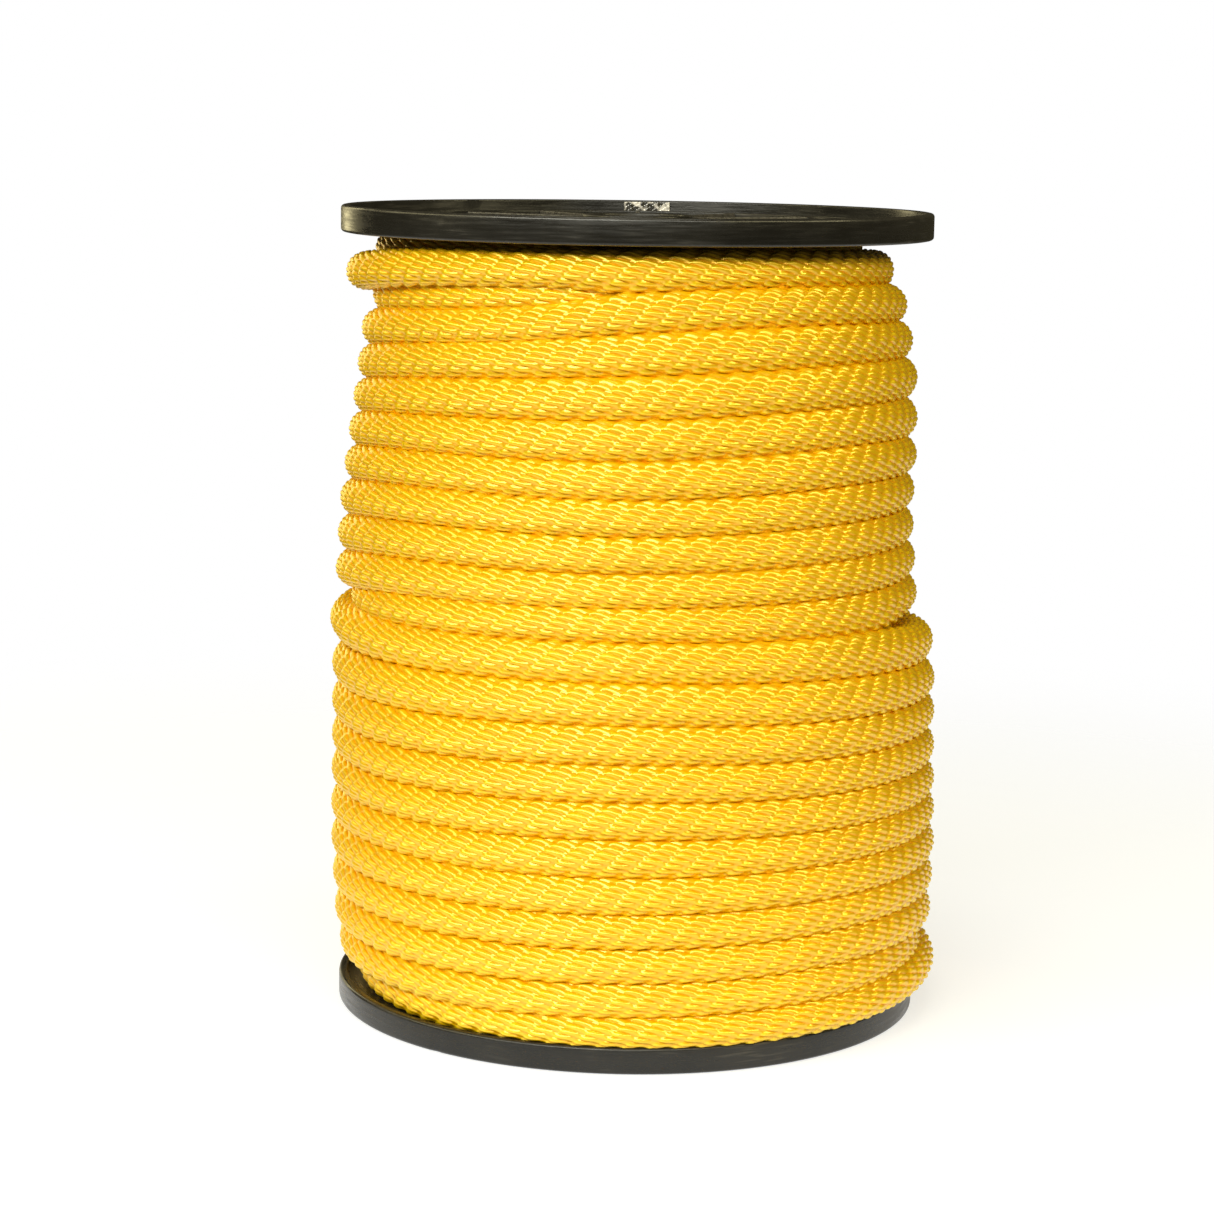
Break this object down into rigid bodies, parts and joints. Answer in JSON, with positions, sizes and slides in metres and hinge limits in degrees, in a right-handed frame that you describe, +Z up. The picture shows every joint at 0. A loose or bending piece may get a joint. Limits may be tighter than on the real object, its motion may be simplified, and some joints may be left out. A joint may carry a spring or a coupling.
{
  "type": "rope reel",
  "caption": "Black moulded plastic reel with two rimmed flanges on a hollow barrel, wound full of thick yellow solid-braid rope.",
  "frame": {"origin": "centre of the lower flange's standing edge, on the reel's axis", "axes": "+Z up along the reel's axis from the lower flange to the upper one; -Y faces the viewer"},
  "size_m": [0.216, 0.216, 0.277],
  "materials": {
    "flange_plastic": "satin black moulded plastic with fine scuffs",
    "barrel_plastic": "matt black moulded plastic",
    "rope": "bright yellow multifilament solid braid with a silky sheen",
    "clear_tape": "glossy clear film tape"
  },
  "bodies": {
    "root": {"bottom_flange": "flange_plastic", "top_flange": "flange_plastic", "core_barrel": "barrel_plastic", "rope_winding": "rope", "rope_outer_end": "rope", "rope_inner_end": "rope", "rim_tape": "clear_tape"}
  },
  "joints": []
}
